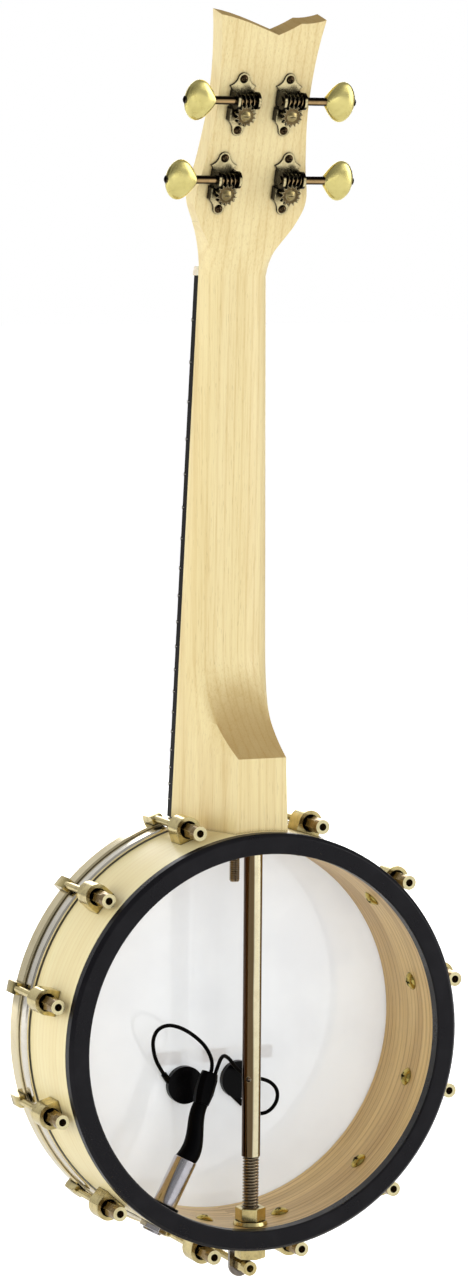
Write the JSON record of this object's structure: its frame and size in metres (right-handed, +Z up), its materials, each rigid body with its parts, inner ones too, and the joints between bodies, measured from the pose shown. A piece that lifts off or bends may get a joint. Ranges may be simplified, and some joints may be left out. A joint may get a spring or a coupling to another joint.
{
  "type": "banjo ukulele",
  "caption": "Open-back banjo ukulele with a round skin-headed pot, tension hooks, coordinator rod, bolt-on maple neck, geared tuners and a head pickup with jack.",
  "frame": {"origin": "axis of the round pot, on the flat back face of its black cap ring", "axes": "+Z up the neck, +Y out of the open back, the head faces -Y, +X to the right seen from the head"},
  "size_m": [0.2202, 0.077, 0.609],
  "materials": {
    "rim_maple": "satin",
    "neck_maple": "satin",
    "blackwood": "matte",
    "bridge_maple": "satin",
    "black_ring": "gloss",
    "white_film": "gloss",
    "bright_hoop": "polished",
    "warm_brass": "polished",
    "rod_brass": "polished",
    "dark_steel": "satin",
    "chrome_plate": "polished",
    "nickel_silver": "polished",
    "pearl_dots": "gloss",
    "bone": "satin",
    "clear_nylon": "gloss",
    "black_rubber": "satin",
    "pale_brass": "polished",
    "dark_screw": "satin",
    "aged_brass": "aged"
  },
  "bodies": {
    "banjo": {"back_ring": "black_ring", "bracket_shoes": "warm_brass", "bridge": "bridge_maple", "coordinator_rod": "rod_brass", "flesh_hoop": "bright_hoop", "fret_markers": "pearl_dots", "fretboard": "blackwood", "frets": "nickel_silver", "head": "white_film", "heel_stud": "dark_steel", "heel_stud_nut": "dark_steel", "hook_bolts": "warm_brass", "hook_nuts": "warm_brass", "jack_barrel": "chrome_plate", "jack_boot": "black_rubber", "jack_nut": "chrome_plate", "jack_washer": "black_rubber", "lead_left": "black_rubber", "lead_right": "black_rubber", "lead_splitter": "black_rubber", "neck": "neck_maple", "nut": "bone", "pickup_discs": "black_rubber", "plate_screws": "dark_screw", "post_bushings": "chrome_plate", "rim": "rim_maple", "rod_inner_nut": "rod_brass", "rod_lag_stud": "dark_steel", "rod_outer_nut": "rod_brass", "rod_washer": "rod_brass", "shoe_screws": "warm_brass", "strings": "clear_nylon", "tail_bolt": "warm_brass", "tail_bracket": "chrome_plate", "tail_nut": "warm_brass", "tailpiece": "chrome_plate", "tension_hoop": "warm_brass", "tuner_plates": "aged_brass"},
    "knob_upper_right": {"worm_shaft_upper_right": "aged_brass", "button_upper_right": "pale_brass"},
    "post_upper_right": {"gear_upper_right": "aged_brass", "gear_screw_upper_right": "dark_screw", "string_post_upper_right": "aged_brass"},
    "knob_lower_right": {"worm_shaft_lower_right": "aged_brass", "button_lower_right": "pale_brass"},
    "post_lower_right": {"gear_lower_right": "aged_brass", "gear_screw_lower_right": "dark_screw", "string_post_lower_right": "aged_brass"},
    "knob_upper_left": {"worm_shaft_upper_left": "aged_brass", "button_upper_left": "pale_brass"},
    "post_upper_left": {"gear_upper_left": "aged_brass", "gear_screw_upper_left": "dark_screw", "string_post_upper_left": "aged_brass"},
    "knob_lower_left": {"worm_shaft_lower_left": "aged_brass", "button_lower_left": "pale_brass"},
    "post_lower_left": {"gear_lower_left": "aged_brass", "gear_screw_lower_left": "dark_screw", "string_post_lower_left": "aged_brass"}
  },
  "joints": [
    {"name": "knob_turn_upper_right", "type": "hinge", "parent": "banjo", "child": "knob_upper_right", "pos_m": [0.0119, -0.00591, 0.44641], "axis": [1, 0, 0], "continuous": true},
    {"name": "post_turn_upper_right", "type": "hinge", "parent": "banjo", "child": "post_upper_right", "pos_m": [0.0119, -0.00799, 0.43952], "axis": [0, 0.9573, -0.289], "continuous": true},
    {"name": "knob_turn_lower_right", "type": "hinge", "parent": "banjo", "child": "knob_lower_right", "pos_m": [0.0165, -0.01704, 0.40956], "axis": [1, 0, 0], "continuous": true},
    {"name": "post_turn_lower_right", "type": "hinge", "parent": "banjo", "child": "post_lower_right", "pos_m": [0.0165, -0.01912, 0.40266], "axis": [0, 0.9573, -0.289], "continuous": true},
    {"name": "knob_turn_upper_left", "type": "hinge", "parent": "banjo", "child": "knob_upper_left", "pos_m": [-0.0119, -0.00591, 0.44641], "axis": [1, 0, 0], "continuous": true},
    {"name": "post_turn_upper_left", "type": "hinge", "parent": "banjo", "child": "post_upper_left", "pos_m": [-0.0119, -0.00799, 0.43952], "axis": [0, 0.9573, -0.289], "continuous": true},
    {"name": "knob_turn_lower_left", "type": "hinge", "parent": "banjo", "child": "knob_lower_left", "pos_m": [-0.0165, -0.01704, 0.40956], "axis": [1, 0, 0], "continuous": true},
    {"name": "post_turn_lower_left", "type": "hinge", "parent": "banjo", "child": "post_lower_left", "pos_m": [-0.0165, -0.01912, 0.40266], "axis": [0, 0.9573, -0.289], "continuous": true}
  ],
  "couplings": [
    {"joint": "post_turn_upper_right", "follows": "knob_turn_upper_right", "ratio": -0.071429},
    {"joint": "post_turn_lower_right", "follows": "knob_turn_lower_right", "ratio": -0.071429},
    {"joint": "post_turn_upper_left", "follows": "knob_turn_upper_left", "ratio": 0.071429},
    {"joint": "post_turn_lower_left", "follows": "knob_turn_lower_left", "ratio": 0.071429}
  ]
}
